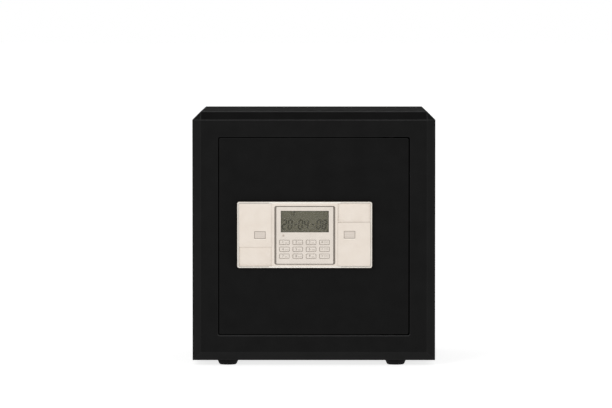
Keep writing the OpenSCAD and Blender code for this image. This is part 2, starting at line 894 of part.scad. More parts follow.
module motor_pinion() {
    root_r = pinion_r - 1.1 * tooth_module;
    color("#c7a45a")
        union() {
            translate([pinion_x, rack_y + rack_d, pinion_z])
                rotate([90, 0, 0])
                    linear_extrude(rack_d)
                        union() {
                            circle(root_r);
                            for (i = [0 : pinion_teeth - 1])
                                rotate(i * 360 / pinion_teeth - 90)
                                    pinion_tooth();
                        }
            rod_y(shaft_r, door_back_y + 5, rack_y + eps, pinion_x, pinion_z);
            rod_y(shaft_r + 2, rack_y - 2, rack_y + eps, pinion_x, pinion_z);
        }
}

module key_plug() {
    slot_w = 1.8;
    color("#8d8f92")
        difference() {
            rod_y(plug_r, lock_front_y + 0.2, lock_back_y + 0.3, lock_x, lock_z);
            span([lock_x - slot_w / 2, lock_front_y - 1, lock_z - 4],
                [lock_x + slot_w / 2, lock_front_y + 7, lock_z + 4]);
            span([lock_x - 0.2, lock_front_y - 1, lock_z - 2],
                [lock_x + 2, lock_front_y + 7, lock_z - 0.6]);
        }
}

module lock_cam() {
    y0 = lock_back_y + 0.3;
    reach = 15;
    color("#b9bbbe")
        union() {
            rod_y(plug_r, y0, y0 + 2, lock_x, lock_z);
            span([lock_x - 4, y0, lock_z - reach], [lock_x + 4, y0 + 2, lock_z]);
            rod_y(4, y0, y0 + 2, lock_x, lock_z - reach);
            rod_y(3, y0 + 2 - eps, y0 + 3.6, lock_x, lock_z);
        }
}

module battery_lid() {
    rib_w = 26;
    z0 = battery_z - lid_h / 2;
    color("#34353a")
        union() {
            span([battery_x - lid_w / 2, lid_y, z0], [battery_x + lid_w / 2, lid_y + lid_t, z0 + lid_h]);
            for (i = [0 : 4])
                span([battery_x - rib_w / 2, lid_y + lid_t - eps, z0 + lid_h - 12 - i * 3],
                    [battery_x + rib_w / 2, lid_y + lid_t + 0.8, z0 + lid_h - 10.8 - i * 3]);
        }
}

module reset_button() {
    y1 = cover_y + box_t + 2.5;
    color("#b02a22")
        union() {
            rod_y(3.7, cover_y - 1, y1 - 0.5, reset_x, reset_z);
            rod_y(3.2, y1 - 0.6, y1, reset_x, reset_z);
            rod_y(5.2, cover_y - 2, cover_y - 0.6, reset_x, reset_z);
        }
}

// ---------- drawing ----------

cabinet_shell();
back_plate();
front_frame();
door_jamb();
door_stop();
hinge_pins();
hinge_washers();
floor_mat();
shelf();
shelf_brackets();
feet();
foot_screws();
door_plate();
door_box();
door_back_cover();
back_cover_screws();
hinge_blocks();
bolt_guide();
gearmotor();
motor_can();
lock_cylinder();
lock_nut();
control_board();
battery_holder();
batteries();
wiring_harness();
panel_gasket();
panel_base();
panel_screws();
module_trim();
module_face();
lcd_lens();
lcd_glass();
keypad_mat();
keypad_board();
status_led();
power_contacts();
bolt_carriage();
locking_bolts();
motor_pinion();
key_plug();
lock_cam();
left_cover();
right_cover();
battery_lid();
reset_button();
for (row = [0 : KEY_ROWS - 1])
    for (column = [0 : KEY_COLUMNS - 1])
        key_cap(row, column);
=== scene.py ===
"""In-room safe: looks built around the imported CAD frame. Metres, +Z up, the door faces -Y."""

import json
import math

import bmesh
import bpy
from mathutils import Matrix, Vector, noise


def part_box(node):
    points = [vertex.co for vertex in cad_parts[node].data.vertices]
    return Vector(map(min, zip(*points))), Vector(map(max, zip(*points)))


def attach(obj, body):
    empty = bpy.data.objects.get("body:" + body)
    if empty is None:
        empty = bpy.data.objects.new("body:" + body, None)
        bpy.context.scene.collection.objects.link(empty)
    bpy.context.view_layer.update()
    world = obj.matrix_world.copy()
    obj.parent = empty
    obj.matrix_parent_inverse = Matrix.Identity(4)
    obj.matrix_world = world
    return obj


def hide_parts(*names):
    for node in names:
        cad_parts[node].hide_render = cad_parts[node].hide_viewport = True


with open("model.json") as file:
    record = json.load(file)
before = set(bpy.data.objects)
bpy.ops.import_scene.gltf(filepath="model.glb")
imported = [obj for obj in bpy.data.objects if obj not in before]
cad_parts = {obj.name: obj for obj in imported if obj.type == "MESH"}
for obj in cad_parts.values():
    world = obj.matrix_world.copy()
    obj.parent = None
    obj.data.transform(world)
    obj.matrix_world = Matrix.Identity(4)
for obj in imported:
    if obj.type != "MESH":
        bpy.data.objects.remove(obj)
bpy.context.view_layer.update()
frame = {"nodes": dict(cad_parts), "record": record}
NODES = frame["nodes"]
MM = 0.001

# ---------------------------------------------------------------- camera and light

SENSOR_MM = 36
LENS_MM = 249.6
CAMERA_AWAY = 6.67
CAMERA_HEIGHT = 0.563
CAMERA_PITCH = math.radians(2.64)
CAMERA_YAW = math.radians(0.106)

# The sky is white to just over the horizon and falls off towards the zenith.
HORIZON_LIGHT = 1.0
ZENITH_LIGHT = 0.35
FALL_OFF_STARTS = 0.02
FALL_OFF_ENDS = 0.75
FLOOR_HALF = 60
FLOOR_TONE = 0.5
FLOOR_GLOW = 0.8
LIT_POINT = (0, 0, 0.2)
# Each softbox: where it stands, its width and height, and its watts.
SOFTBOXES = {
    "key_softbox": ((-1.7, -3.4, 1.9), (1.4, 1.4), 40),
    "fill_softbox": ((2.4, -2.6, 1.2), (1.6, 1.6), 9),
}

# ---------------------------------------------------------------- sizes that the frame's boxes don't give

CHAMFER = 13.3 * MM

RIM_CORNER = 2.4 * MM
RIM_INSET = 0.6 * MM
RIM_INNER_INSET = 2.1 * MM
RIM_SHADOW_INSET = 2.48 * MM
RIM_SHADOW_CORNER = 1.0 * MM
BROW_CORNER = 0.7 * MM
BROW_OVERHANG = 9 * MM
BROW_FROM_EDGE = (0.7 * MM, 2.3 * MM)

GRIP_W = 18 * MM
GRIP_H = 12 * MM
GRIP_DEPTH = 0.8 * MM
GRIP_FROM_END = 18.9 * MM
GRIP_IN = 7.2 * MM
GRIP_FIT = 0.15 * MM
GRIP_CORNER = 0.7 * MM
GRIP_EDGE_W = 0.8 * MM
GRIP_EDGE_CORNER = 0.5 * MM
RIB_PITCH = 3 * MM
RIB_HALF_H = 0.45 * MM
RIB_CORNER = 0.4 * MM
RIB_FROM_SIDE = 1.5 * MM
LIP_OVERHANG = 0.3 * MM
LIP_BELOW = (0.25 * MM, 1.3 * MM)
LIP_CORNER = 0.45 * MM

KEY_SKIRT = 1.0 * MM
KEY_GAP = 0.35 * MM
LINE_CORNER_OUTER = 1.5 * MM
LINE_CORNER_INNER = 1.3 * MM
# The painted shadow line's width at the left, the bottom, the right and the top of a key.
LINE_LEFT, LINE_BOTTOM, LINE_RIGHT, LINE_TOP = 0.6 * MM, 0.5 * MM, 0.3 * MM, 0.15 * MM

DIGIT_W = 7.4 * MM
DIGIT_H = 15.8 * MM
DIGIT_BAR = 1.9 * MM
DIGIT_PITCH = 8.9 * MM
DASH_W = 7.0 * MM
SMALL_DIGIT_W = 3.9 * MM
SMALL_DIGIT_H = 6.6 * MM
SMALL_DIGIT_BAR = 1.2 * MM
SMALL_DIGIT_PITCH = 5.2 * MM
DISPLAY_MARGIN = 1.5 * MM
DIGIT_THICK = 0.05 * MM
# The two rows of the display: what each group reads and where it starts, and how high the row stands.
LARGE_ROW = (("20", 1.2 * MM), ("-", 19.4 * MM), ("04", 26.5 * MM), ("-", 46.6 * MM), ("08", 55.0 * MM))
LARGE_ROW_UP = 4.3 * MM
SMALL_PAIR = ("10", 13.0 * MM)
SMALL_PAIR_UP = 26.0 * MM

# Marks on the keys, from the middle of a key.
PRINT_THICK = 0.04 * MM
KEY_DIGIT_SIZE = 5.6 * MM
KEY_DIGIT_LEFT = 2.4 * MM
MARK_RIGHT = 0.8 * MM
BLOCK_PITCH = 1.9 * MM
BLOCK_SIZE = (1.4 * MM, 0.8 * MM)
BLOCK_DOWN = 1.0 * MM
UNDERLINE_SIZE = (4.8 * MM, 0.4 * MM)
UNDERLINE_DOWN = 1.9 * MM
SIGN_RADIUS = 1.5 * MM
SIGN_LEFT = 3.6 * MM
SIGN_UP = 0.4 * MM
SIGN_CORNERS = (24, 3, 4)
BAR_SIZE = (6.6 * MM, 0.5 * MM)
BAR_LEFT = 0.8 * MM
BAR_UP = 0.6 * MM
BAR_PITCH = 1.7 * MM

ANCHOR_X = 100 * MM
ANCHOR_Y = 15 * MM
ANCHOR_HALF_Y = 70 * MM
ANCHOR_CLEAR = 10 * MM
MAT_EDGE = 1.0 * MM
MAT_CORNER = 6 * MM
MAT_WAVE = 0.5 * MM
MAT_GRID = 12 * MM

LID_FACE_FROM_FRONT = 1.6 * MM
ARROW_HALF_HEAD = 7 * MM
ARROW_HALF_STEM = 2.5 * MM
ARROW_FROM_LOW = 12 * MM
ARROW_HEAD_H = 9 * MM
ARROW_H = 20 * MM

WELDS_PER_SIDE = 4
WELD_LENGTH = 22 * MM
WELD_W = 3.0 * MM
WELD_H = 0.9 * MM


def srgb(r, g, b):
    """A screen colour, 0 to 255, as linear values."""
    return tuple(c / 255 / 12.92 if c <= 10 else ((c / 255 + 0.055) / 1.055) ** 2.4 for c in (r, g, b))


def make_camera():
    data = bpy.data.cameras.new("camera")
    data.sensor_width = SENSOR_MM
    data.lens = LENS_MM
    data.clip_start = 0.05
    data.clip_end = 200
    camera = bpy.data.objects.new("camera", data)
    front_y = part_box("front_frame")[0].y
    camera.location = (0, front_y - CAMERA_AWAY, CAMERA_HEIGHT)
    camera.rotation_euler = (math.radians(90) - CAMERA_PITCH, 0, CAMERA_YAW)
    bpy.context.scene.collection.objects.link(camera)
    bpy.context.scene.camera = camera


def area_light(name, place, target, size, watts):
    data = bpy.data.lights.new(name, "AREA")
    data.shape = "RECTANGLE"
    data.size, data.size_y = size
    data.energy = watts
    light = bpy.data.objects.new(name, data)
    light.location = place
    light.rotation_euler = (Vector(target) - Vector(place)).to_track_quat("-Z", "Y").to_euler()
    bpy.context.scene.collection.objects.link(light)


def make_sky():
    world = bpy.data.worlds.new("studio")
    world.use_nodes = True
    tree = world.node_tree
    background = tree.nodes["Background"]
    background.inputs["Color"].default_value = (1, 1, 1, 1)
    coords = tree.nodes.new("ShaderNodeTexCoord")
    axes = tree.nodes.new("ShaderNodeSeparateXYZ")
    fade = tree.nodes.new("ShaderNodeMapRange")
    fade.inputs["From Min"].default_value = FALL_OFF_STARTS
    fade.inputs["From Max"].default_value = FALL_OFF_ENDS
    fade.inputs["To Min"].default_value = HORIZON_LIGHT
    fade.inputs["To Max"].default_value = ZENITH_LIGHT
    tree.links.new(coords.outputs["Generated"], axes.inputs["Vector"])
    tree.links.new(axes.outputs["Z"], fade.inputs["Value"])
    tree.links.new(fade.outputs["Result"], background.inputs["Strength"])
    bpy.context.scene.world = world


def make_floor():
    mesh = bpy.data.meshes.new("studio_floor")
    corners = [(x * FLOOR_HALF, y * FLOOR_HALF, 0) for x, y in ((-1, -1), (1, -1), (1, 1), (-1, 1))]
    mesh.from_pydata(corners, [], [(0, 1, 2, 3)])
    floor = bpy.data.objects.new("studio_floor", mesh)
    bpy.context.scene.collection.objects.link(floor)
    mat = bpy.data.materials.new("pale_floor")
    mat.use_nodes = True
    shader = mat.node_tree.nodes["Principled BSDF"]
    shader.inputs["Base Color"].default_value = (FLOOR_TONE, FLOOR_TONE, FLOOR_TONE, 1)
    shader.inputs["Roughness"].default_value = 0.9
    shader.inputs["Specular IOR Level"].default_value = 0.1
    shader.inputs["Emission Color"].default_value = (1, 1, 1, 1)
    shader.inputs["Emission Strength"].default_value = FLOOR_GLOW
    mesh.materials.append(mat)


def make_studio():
    make_sky()
    for name, (place, size, watts) in SOFTBOXES.items():
        area_light(name, place, LIT_POINT, size, watts)
    make_floor()


# ---------------------------------------------------------------- materials


# Painted edge highlight: the radius over which a fold is felt, and the ranges over which its turn and its
# upward
# look are faded in. Dusty tops: how steeply a face must look up. The last is how much of the painted
# highlight an edge that looks down keeps.
EDGE_HIGHLIGHT_RADIUS = 2.4 * MM
FOLD_TURN = (0.95, 0.997)
FOLD_LOOKS_UP = (0.05, 0.3)
TOP_LOOKS_UP = (0.75, 0.95)
DOWNWARD_EDGE_HIGHLIGHT = 0.1


def shade(value):
    """A grey, as linear values."""
    return (value, value, value)


class Finish:
    """A procedural material: one principled shader with colour, roughness and bump from noise."""

    def __init__(self, name, rough=0.5, metallic=0.0, specular=0.5):
        self.mat = bpy.data.materials.new(name)
        self.mat.use_nodes = True
        self.tree = self.mat.node_tree
        self.shader = self.tree.nodes["Principled BSDF"]
        self.coords = self.tree.nodes.new("ShaderNodeTexCoord")
        self.last_normal = None
        self.set("Roughness", rough)
        self.set("Metallic", metallic)
        self.set("Specular IOR Level", specular)

    def set(self, socket, value):
        self.shader.inputs[socket].default_value = value

    def link(self, a, b):
        self.tree.links.new(a, b)

    def noise(self, per_metre, detail=2.0, stretch=(1, 1, 1)):
        """Noise over the piece's own coordinates, with this many cells to a metre."""
        mapping = self.tree.nodes.new("ShaderNodeMapping")
        mapping.inputs["Scale"].default_value = stretch
        tex = self.tree.nodes.new("ShaderNodeTexNoise")
        tex.inputs["Scale"].default_value = per_metre
        tex.inputs["Detail"].default_value = detail
        self.link(self.coords.outputs["Object"], mapping.inputs["Vector"])
        self.link(mapping.outputs["Vector"], tex.inputs["Vector"])
        return tex.outputs["Fac"]

    def ramp(self, fac, low, high, start=0.3, end=0.7):
        """A value that runs from the low colour to the high colour as fac runs from start to end."""
        ramp = self.tree.nodes.new("ShaderNodeValToRGB")
        ramp.color_ramp.elements[0].position = start
        ramp.color_ramp.elements[1].position = end
        ramp.color_ramp.elements[0].color = (*low, 1)
        ramp.color_ramp.elements[1].color = (*high, 1)
        self.link(fac, ramp.inputs["Fac"])
        return ramp.outputs["Color"]

    def mix(self, factor, base, other, socket):
        """Feeds a shader socket with base, turning into the plain colour other where factor is one."""
        mix = self.tree.nodes.new("ShaderNodeMix")
        mix.data_type = "RGBA"
        self.link(factor, mix.inputs["Factor"])
        self.link(base, mix.inputs["A"])
        mix.inputs["B"].default_value = (*other, 1)
        self.link(mix.outputs["Result"], self.shader.inputs[socket])

    def height_of(self, normal):
        """How far a normal looks up."""
        axes = self.tree.nodes.new("ShaderNodeSeparateXYZ")
        self.link(normal, axes.inputs["Vector"])
        return axes.outputs["Z"]

    def mottle(self, low, high, per_metre, detail=2.0, stretch=(1, 1, 1)):
        tone = self.ramp(self.noise(per_metre, detail, stretch), low, high)
        self.link(tone, self.shader.inputs["Base Color"])

    def rough_range(self, low, high, per_metre, stretch=(1, 1, 1)):
        tone = self.ramp(self.noise(per_metre, 2.0, stretch), shade(low), shade(high))
        self.link(tone, self.shader.inputs["Roughness"])

    def bump(self, per_metre, strength, height, detail=2.0, stretch=(1, 1, 1)):
        """Adds a bump of this height in metres on top of the bumps that are there already."""
        node = self.tree.nodes.new("ShaderNodeBump")
        node.inputs["Strength"].default_value = strength
        node.inputs["Distance"].default_value = height
        self.link(self.noise(per_metre, detail, stretch), node.inputs["Height"])
        if self.last_normal:
            self.link(self.last_normal, node.inputs["Normal"])
        self.last_normal = node.outputs["Normal"]
        self.link(self.last_normal, self.shader.inputs["Normal"])

    def paint_edge_highlight(self, base, edge_highlight, radius):
        """Lightens the base colour along the edges that look up: a painted highlight where light from above
        would catch them.
        """
        rounded = self.tree.nodes.new("ShaderNodeBevel")
        rounded.samples = 6
        rounded.inputs["Radius"].default_value = radius
        geometry = self.tree.nodes.new("ShaderNodeNewGeometry")
        turn = self.tree.nodes.new("ShaderNodeVectorMath")
        turn.operation = "DOT_PRODUCT"
        self.link(rounded.outputs["Normal"], turn.inputs[0])
        self.link(geometry.outputs["Normal"], turn.inputs[1])
        edge = self.ramp(turn.outputs["Value"], shade(1), shade(0), *FOLD_TURN)
        up = self.height_of(rounded.outputs["Normal"])
        upward = self.ramp(up, shade(DOWNWARD_EDGE_HIGHLIGHT), shade(1), *FOLD_LOOKS_UP)
        both = self.tree.nodes.new("ShaderNodeMath")
        both.operation = "MULTIPLY"
        self.link(edge, both.inputs[0])
        self.link(upward, both.inputs[1])
        self.mix(both.outputs["Value"], base, edge_highlight, "Base Color")

    def dusty_top(self, rough, dusty, per_metre):
        """Uneven roughness that rises to the dusty value on faces that look up."""
        geometry = self.tree.nodes.new("ShaderNodeNewGeometry")
        upward = self.ramp(self.height_of(geometry.outputs["Normal"]), shade(0), shade(1), *TOP_LOOKS_UP)
        even = self.ramp(self.noise(per_metre), shade(rough - 0.05), shade(rough + 0.07))
        self.mix(upward, even, shade(dusty), "Roughness")


def powder_coat(name, dark, light, rough=0.5, specular=0.05, edge_highlight=0.014, dusty=0.9):
    """Powder coat: fine orange peel over a slow change of tone, a painted highlight along its upward edges,
    duller on top.
    """
    finish = Finish(name, rough, specular=specular)
    tone = finish.ramp(finish.noise(35, 4.0), dark, light)
    # The edge grey is a painted highlight along the edges that look up.
    finish.paint_edge_highlight(tone, shade(edge_highlight), EDGE_HIGHLIGHT_RADIUS)
    finish.dusty_top(rough, dusty, 18)
    finish.bump(520, 0.35, 0.00012, 2.0)
    finish.bump(1700, 0.3, 0.00005, 2.0)
    return finish.mat


def plated(name, low, high, rough=0.3, stretch=(1, 1, 1)):
    finish = Finish(name, rough, metallic=1.0)
    finish.mottle(low, high, 160, 3.0, stretch)
    finish.rough_range(rough - 0.08, rough + 0.1, 420, stretch)
    finish.bump(1500, 0.15, 0.00003, 2.0, stretch)
    return finish.mat


def moulded(name, low, high, rough=0.45, grain=1400, specular=0.45, coat=0.0):
    """Moulded plastic with a fine spark-eroded grain."""
    finish = Finish(name, rough, specular=specular)
    finish.mottle(low, high, 60, 3.0)
    finish.rough_range(rough - 0.05, rough + 0.06, 90)
    finish.bump(grain, 0.25, 0.00004, 2.0)
    if coat:
        finish.set("Coat Weight", coat)
        finish.set("Coat Roughness", 0.12)
    return finish.mat


def rubber_finish(name, low, high):
    finish = Finish(name, 0.72, specular=0.1)
    finish.mottle(low, high, 120, 3.0)
    finish.rough_range(0.65, 0.8, 70)
    finish.bump(900, 0.4, 0.00008, 3.0)
    return finish.mat


def felt_finish(name, low, high):
    finish = Finish(name, 0.95, specular=0.1)
    finish.set("Sheen Weight", 0.35)
    finish.set("Sheen Roughness", 0.5)
    finish.mottle(low, high, 700, 6.0)
    finish.bump(900, 0.7, 0.0006, 6.0)
    finish.bump(90, 0.25, 0.0008, 2.0)
    return finish.mat


def lens_finish(name):
    """A clear window: nearly see-through, with a faint smoky tint and a glossy face."""
    finish = Finish(name, 0.06, specular=0.5)
    finish.mottle(srgb(120, 118, 104), srgb(126, 124, 110), 50)
    finish.set("Alpha", 0.08)
    finish.rough_range(0.04, 0.09, 60)
    return finish.mat


def lcd_finish(name):
    """A reflective display: olive, with a faint pixel grain."""
    finish = Finish(name, 0.35, specular=0.4)
    finish.mottle(srgb(88, 85, 69), srgb(94, 91, 74), 40, 2.0)
    finish.rough_range(0.28, 0.4, 50)
    finish.bump(2600, 0.1, 0.00002)
    return finish.mat


def make_finishes():
    """One finish for each material slot of the record."""
    brass = plated("brass", (0.62, 0.43, 0.17), (0.74, 0.54, 0.25), 0.28)
    # In the powder coats, the last grey is the highlight painted along upward edges.
    return {
        "cabinet_paint": powder_coat("cabinet_powder_coat", shade(0.0052), shade(0.0070), 0.45, edge_highlight=0.045,
                                     dusty=0.95),
        "door_paint": powder_coat("door_powder_coat", shade(0.0046), shade(0.0062), edge_highlight=0.012),
        "jamb_paint": powder_coat("jamb_powder_coat", shade(0.0035), shade(0.0050), 0.5, edge_highlight=0.006),
        "inner_paint": powder_coat("inner_powder_coat", shade(0.020), shade(0.026), 0.5, specular=0.15,
                                   edge_highlight=0.045),
        "inner_cover_paint": powder_coat("inner_cover_coat", shade(0.022), shade(0.028), 0.5, edge_highlight=0.04),
        "zinc_steel": plated("zinc_plate", shade(0.48), shade(0.6), 0.34),
        "bolt_steel": plated("ground_steel", shade(0.52), shade(0.66), 0.26, (1, 1, 6)),
        "brass": brass,
        "gear_brass": brass,
        "lock_chrome": plated("satin_chrome", shade(0.58), shade(0.68), 0.22),
        "motor_metal": plated("motor_can_metal", shade(0.5), shade(0.6), 0.36, (1, 1, 8)),
        "felt": felt_finish("felt", shade(0.035), (0.075, 0.076, 0.085)),
        "rubber": rubber_finish("rubber", shade(0.004), shade(0.007)),
        "keypad_rubber": rubber_finish("silicone", (0.5, 0.48, 0.44), (0.6, 0.58, 0.53)),
        "dark_plastic": moulded("dark_plastic", (0.055, 0.047, 0.042), (0.068, 0.059, 0.052), 0.38),
        "black_plastic": moulded("black_plastic", shade(0.016), shade(0.024), 0.5),
        "panel_plastic": moulded("panel_plastic", srgb(217, 206, 194), srgb(222, 212, 201), 0.36, 1500,
                                 coat=0.15),
        "face_plastic": moulded("face_plastic", srgb(211, 202, 192), srgb(216, 207, 197), 0.42, 1600),
        "black_nylon": moulded("black_nylon", shade(0.002), shade(0.003), 0.6, specular=0.05),
        # The module trim is plated; this dark brownish non-metal colour paints the dark reflection of a
        # chrome rim.
        "trim_plating": moulded("trim_plating", srgb(110, 102, 93), srgb(118, 109, 100), 0.34, 1500,
                                specular=0.5),
        "circuit_board": moulded("solder_mask", (0.015, 0.10, 0.04), (0.03, 0.15, 0.06), 0.3, 800),
        "battery_wrap": moulded("battery_wrap", (0.42, 0.26, 0.07), (0.5, 0.33, 0.1), 0.22, 900),
        "red_plastic": moulded("red_plastic", (0.42, 0.03, 0.02), (0.5, 0.045, 0.03), 0.25, 900),
        "led_red": moulded("led_plastic", srgb(176, 160, 149), srgb(184, 168, 157), 0.2, 900),
        "lid_plastic": moulded("lid_plastic", shade(0.03), shade(0.04), 0.48),
        "lens": lens_finish("lens_plastic"),
        "lcd": lcd_finish("lcd_olive"),
    }


def dress_cad_nodes(finishes):
    """Gives each CAD node its slot's finish, but for blackened hinge pins and a thinner coat on the back."""
    own = {
        "hinge_pins": plated("blackened_steel", shade(0.008), shade(0.014), 0.6),
        # Its last grey is also the highlight painted along upward edges.
        "back_plate": powder_coat("back_powder_coat", shade(0.0100), shade(0.0150), 0.6, specular=0.08,
                                  edge_highlight=0.05),
    }
    for part in frame["record"]["subparts"]:
        node = NODES[part["node"]]
        node.data.materials.clear()
        node.data.materials.append(own.get(part["node"], finishes[part["material_slot"]]))


# ---------------------------------------------------------------- edges of the CAD nodes


def soften(name, width_mm, segments=3, angle=30):
    """Rounds a CAD node's edges with modifiers, which leave its mesh and size as they are."""
    node = NODES[name]
    weld = node.modifiers.new("join_corners", "WELD")
    weld.merge_threshold = 1e-6
    bevel = node.modifiers.new("round_edges", "BEVEL")
    bevel.width = width_mm * MM
    bevel.segments = segments
    bevel.limit_method = "ANGLE"
    bevel.angle_limit = math.radians(angle)
    bevel.use_clamp_overlap = True
    normals = node.modifiers.new("flat_faces", "WEIGHTED_NORMAL")
    normals.keep_sharp = False
    for polygon in node.data.polygons:
        polygon.use_smooth = True


def soften_all():
    widths = {
        "cabinet_shell": 0.5, "front_frame": 0.8, "back_plate": 0.3, "door_jamb": 0.5, "door_stop": 0.4,
        "door_plate": 0.6, "door_box": 0.5, "door_back_cover": 0.3, "hinge_blocks": 0.6, "shelf": 0.5,
        "shelf_brackets": 0.5, "panel_base": 0.35, "left_cover": 0.25, "right_cover": 0.25,
        "module_trim": 0.3, "module_face": 0.2, "bolt_guide": 0.5, "gearmotor": 0.6, "battery_lid": 0.25,
        "bolt_carriage": 0.4, "battery_holder": 0.3, "lcd_lens": 0.15, "lock_cam": 0.3,
    }
    for name, width in widths.items():
        soften(name, width)
    for name in sorted(NODES):
        if name.startswith("key_row"):
            soften(name, 0.25)


# ---------------------------------------------------------------- helpers for new pieces

# Stands a flat shape up, so that what looked along +Z looks along -Y.
UPRIGHT = Matrix.Rotation(math.radians(90), 4, "X")


def piece(name, bm, material, body, smooth=False):
    mesh = bpy.data.meshes.new(name)
    bmesh.ops.recalc_face_normals(bm, faces=bm.faces)
    bm.to_mesh(mesh)
    bm.free()
    mesh.materials.append(material)
    for polygon in mesh.polygons:
        polygon.use_smooth = smooth
    obj = bpy.data.objects.new(name, mesh)
    bpy.context.scene.collection.objects.link(obj)
    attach(obj, body)
    return obj


def prism(bm, outline, y0, y1):
    """A flat outline in the X-Z plane, given thickness from y0 to y1."""
    front = [bm.verts.new((x, y0, z)) for x, z in outline]
    back = [bm.verts.new((x, y1, z)) for x, z in outline]
    bm.faces.new(front)
    bm.faces.new(reversed(back))
    count = len(outline)
    for i in range(count):
        j = (i + 1) % count
        bm.faces.new((front[i], back[i], back[j], front[j]))


def round_rectangle(low, high, radius, steps=6):
    """The points of a rectangle with round corners, anticlockwise, from its low and high corners."""
    (x0, z0), (x1, z1) = low, high
    points = []
    for cx, cz, start in ((x1 - radius, z1 - radius, 0), (x0 + radius, z1 - radius, 90),
                          (x0 + radius, z0 + radius, 180), (x1 - radius, z0 + radius, 270)):
        for i in range(steps + 1):
            angle = math.radians(start + 90 * i / steps)
            points.append((cx + radius * math.cos(angle), cz + radius * math.sin(angle)))
    return points


def circle_points(x, z, radius, steps=32):
    return [(x + radius * math.cos(math.tau * i / steps), z + radius * math.sin(math.tau * i / steps))
            for i in range(steps)]


def flat_mesh(name, outlines, thick, bevel, rings=2):
    """A plate in the X-Y plane, centred on Z, with round edges. The outlines after the first are holes."""
    curve = bpy.data.curves.new(name, "CURVE")
    curve.dimensions = "2D"
    curve.fill_mode = "BOTH"
    curve.extrude = thick / 2 - bevel
    curve.bevel_depth = bevel
    curve.bevel_resolution = rings
    curve.offset = -bevel
    for points in outlines:
        spline = curve.splines.new("POLY")
        spline.points.add(len(points) - 1)
        for point, (x, y) in zip(spline.points, points):
            point.co = (x, y, 0, 1)
        spline.use_cyclic_u = True
    return curve_to_mesh(curve, name)


def curve_to_mesh(curve, name):
    holder = bpy.data.objects.new(name + "_curve", curve)
    bpy.context.scene.collection.objects.link(holder)
    bpy.context.view_layer.update()
    mesh = bpy.data.meshes.new_from_object(holder.evaluated_get(bpy.context.evaluated_depsgraph_get()))
    bpy.data.objects.remove(holder)
    bpy.data.curves.remove(curve)
    mesh.name = name
    return mesh


def place_mesh(mesh, material, body, smooth=True):
    mesh.materials.clear()
    mesh.materials.append(material)
    for polygon in mesh.polygons:
        polygon.use_smooth = smooth
    if smooth:
        mesh.set_sharp_from_angle(angle=math.radians(40))
    obj = bpy.data.objects.new(mesh.name, mesh)
    bpy.context.scene.collection.objects.link(obj)
    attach(obj, body)
    return obj


def front_plate(name, outlines, y_front, thick, bevel, material, body):
    """A flat_mesh stood up so that its front face is at y_front, looking along -Y."""
    mesh = flat_mesh(name, outlines, thick, bevel)
    mesh.transform(Matrix.Translation((0, y_front + thick / 2, 0)) @ UPRIGHT)
    return place_mesh(mesh, material, body)


def inset_box(node, inset):
    low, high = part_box(node)
    return (low.x + inset, low.z + inset), (high.x - inset, high.z - inset)


# ---------------------------------------------------------------- panel trim


def make_panel_trim():
    """A bright rim round the panel with a darker ring inside it that paints the rim's shadow, and a
    near-white bead over and under the keypad that paints a highlight.
    """
    base_low, base_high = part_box("panel_base")
    front = base_low.y
    rim = moulded("rim_plastic", srgb(212, 208, 200), srgb(222, 218, 210), 0.24, 1500, 0.6, coat=0.5)
    # A narrow ring of darker plastic just inside the rim paints the shadow that the rim casts on the panel.
    rim_shadow = moulded("rim_painted_shadow", srgb(158, 150, 140), srgb(166, 158, 148), 0.5, 1500)
    outer = round_rectangle(*inset_box("panel_base", RIM_INSET), RIM_CORNER)
    inner = round_rectangle(*inset_box("panel_base", RIM_INNER_INSET), RIM_CORNER / 2)
    rim_shadow_inner = round_rectangle(*inset_box("panel_base", RIM_SHADOW_INSET), RIM_SHADOW_CORNER)
    front_plate("panel_rim", [outer, inner], front - 0.35 * MM, 0.4 * MM, 0.15 * MM, rim, "door")
    front_plate("rim_painted_shadow", [inner, rim_shadow_inner], front - 0.08 * MM, 0.1 * MM, 0.02 * MM, rim_shadow, "door")
    # The near-white beads over and under the keypad paint the highlight on the panel's upper and lower rim.
    brow_highlight = moulded("brow_highlight_plastic", srgb(247, 244, 236), srgb(250, 247, 240), 0.2, 1500, 0.7, coat=0.6)
    trim_low, trim_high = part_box("module_trim")
    left, right = trim_low.x - BROW_OVERHANG, trim_high.x + BROW_OVERHANG
    near, far = BROW_FROM_EDGE
    for side, z0, z1 in (("top", base_high.z - far, base_high.z - near),
                         ("bottom", base_low.z + near, base_low.z + far)):
        bar = round_rectangle((left, z0), (right, z1), BROW_CORNER)
        front_plate(f"{side}_brow", [bar], front - 0.65 * MM, 0.5 * MM, 0.24 * MM, brow_highlight, "door")


